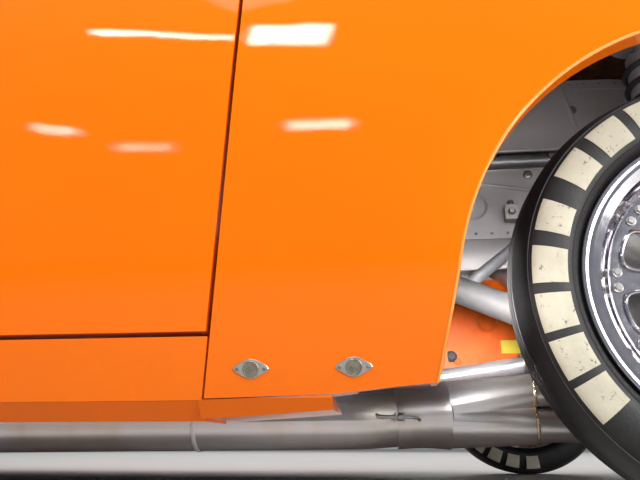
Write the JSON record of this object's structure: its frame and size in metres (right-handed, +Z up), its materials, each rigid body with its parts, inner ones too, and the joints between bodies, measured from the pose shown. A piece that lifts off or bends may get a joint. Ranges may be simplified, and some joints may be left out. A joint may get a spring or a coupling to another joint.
{
  "type": "muscle car",
  "caption": "Two-door drag-race muscle car on narrow front wheels and wide rear slicks, with opening doors, hood and deck lid, and steered, rolling wheels.",
  "frame": {"origin": "on the floor under the middle of the car's length and width, at the height of the tyres' lowest points", "axes": "+X forward along the car, +Y to the car's left, +Z up"},
  "size_m": [4.7064, 1.8482, 1.248],
  "materials": {
    "orange_paint": "gloss, solid orange with clear coat",
    "clear_glass": "clear",
    "bright_chrome": "polished",
    "lamp_glass": "clear, moulded",
    "red_lens": "gloss, translucent",
    "black_trim": "matte",
    "floor_paint": "satin dark grey",
    "chassis_paint": "satin grey",
    "sheet_aluminium": "brushed",
    "radiator_core": "dull",
    "engine_paint": "painted orange",
    "cast_case": "as cast",
    "stainless": "polished, heat-tinted",
    "spun_aluminium": "polished",
    "tyre_rubber": "matte black",
    "iron_disc": "turned",
    "seat_cover": "black, grained",
    "cage_paint": "satin black"
  },
  "bodies": {
    "car": {"front_fender_right": "orange_paint", "front_fender_left": "orange_paint", "quarter_panel_right": "orange_paint", "quarter_panel_left": "orange_paint", "quarter_glass": "clear_glass", "sills": "orange_paint", "cowl_panel": "orange_paint", "roof": "orange_paint", "windshield": "clear_glass", "rear_window": "clear_glass", "rear_deck_panel": "orange_paint", "tail_panel": "orange_paint", "tail_lamps": "red_lens", "nose_panel": "orange_paint", "front_bumper": "bright_chrome", "rear_bumper": "bright_chrome", "grille": "black_trim", "headlamps": "lamp_glass", "floor_pan": "floor_paint", "rear_tubs": "floor_paint", "front_chassis": "chassis_paint", "inner_panels": "sheet_aluminium", "radiator": "radiator_core", "engine_block": "engine_paint", "oil_pan": "engine_paint", "transmission": "cast_case", "driveshaft": "stainless", "headers": "stainless", "exhaust_pipes": "stainless", "front_lower_arms": "chassis_paint", "steering_rack": "cast_case", "rear_axle": "cage_paint", "rear_links": "chassis_paint", "roll_cage": "cage_paint", "driver_seat": "seat_cover", "dashboard": "black_trim", "steering_column": "black_trim", "shifter": "black_trim"},
    "door_right_leaf": {"door_right": "orange_paint", "door_glass_right": "clear_glass"},
    "door_left_leaf": {"door_left": "orange_paint", "door_glass_left": "clear_glass"},
    "hood_leaf": {"hood": "orange_paint"},
    "deck_leaf": {"deck_lid": "orange_paint"},
    "steer_right": {"front_knuckle_right": "chassis_paint"},
    "steer_left": {"front_knuckle_left": "chassis_paint"},
    "wheel_front_right": {"front_rim_right": "spun_aluminium", "front_tyre_right": "tyre_rubber", "brake_disc_right": "iron_disc"},
    "wheel_front_left": {"front_rim_left": "spun_aluminium", "front_tyre_left": "tyre_rubber", "brake_disc_left": "iron_disc"},
    "wheel_rear_right": {"rear_rim_right": "spun_aluminium", "rear_tyre_right": "tyre_rubber"},
    "wheel_rear_left": {"rear_rim_left": "spun_aluminium", "rear_tyre_left": "tyre_rubber"},
    "steering_wheel_ring": {"steering_wheel": "black_trim"}
  },
  "joints": [
    {"name": "door_right_hinge", "type": "hinge", "parent": "car", "child": "door_right_leaf", "pos_m": [0.66, -0.915, 0.5], "axis": [0, 0, 1], "range_deg": [0, 65]},
    {"name": "door_left_hinge", "type": "hinge", "parent": "car", "child": "door_left_leaf", "pos_m": [0.66, 0.915, 0.5], "axis": [0, 0, -1], "range_deg": [0, 65]},
    {"name": "hood_hinge", "type": "hinge", "parent": "car", "child": "hood_leaf", "pos_m": [0.686, 0, 0.851], "axis": [0, -1, 0], "range_deg": [0, 50]},
    {"name": "deck_hinge", "type": "hinge", "parent": "car", "child": "deck_leaf", "pos_m": [-1.16, 0, 0.884], "axis": [0, 1, 0], "range_deg": [0, 60]},
    {"name": "steer_right_turn", "type": "hinge", "parent": "car", "child": "steer_right", "pos_m": [1.407, -0.632, 0.293], "axis": [0, 0, 1], "range_deg": [-22, 22]},
    {"name": "steer_left_turn", "type": "hinge", "parent": "car", "child": "steer_left", "pos_m": [1.407, 0.632, 0.293], "axis": [0, 0, 1], "range_deg": [-22, 22]},
    {"name": "wheel_front_right_spin", "type": "hinge", "parent": "steer_right", "child": "wheel_front_right", "pos_m": [1.407, -0.75, 0.293], "axis": [0, 1, 0], "continuous": true},
    {"name": "wheel_front_left_spin", "type": "hinge", "parent": "steer_left", "child": "wheel_front_left", "pos_m": [1.407, 0.75, 0.293], "axis": [0, 1, 0], "continuous": true},
    {"name": "wheel_rear_right_spin", "type": "hinge", "parent": "car", "child": "wheel_rear_right", "pos_m": [-1.329, -0.665, 0.4], "axis": [0, 1, 0], "continuous": true},
    {"name": "wheel_rear_left_spin", "type": "hinge", "parent": "car", "child": "wheel_rear_left", "pos_m": [-1.329, 0.665, 0.4], "axis": [0, 1, 0], "continuous": true},
    {"name": "steering_wheel_turn", "type": "hinge", "parent": "car", "child": "steering_wheel_ring", "pos_m": [0.33, 0.412, 0.742], "axis": [-0.922, 0, 0.3872], "range_deg": [-352, 352]}
  ],
  "couplings": [
    {"joint": "steer_left_turn", "follows": "steer_right_turn", "ratio": 1},
    {"joint": "steering_wheel_turn", "follows": "steer_right_turn", "ratio": 16}
  ]
}
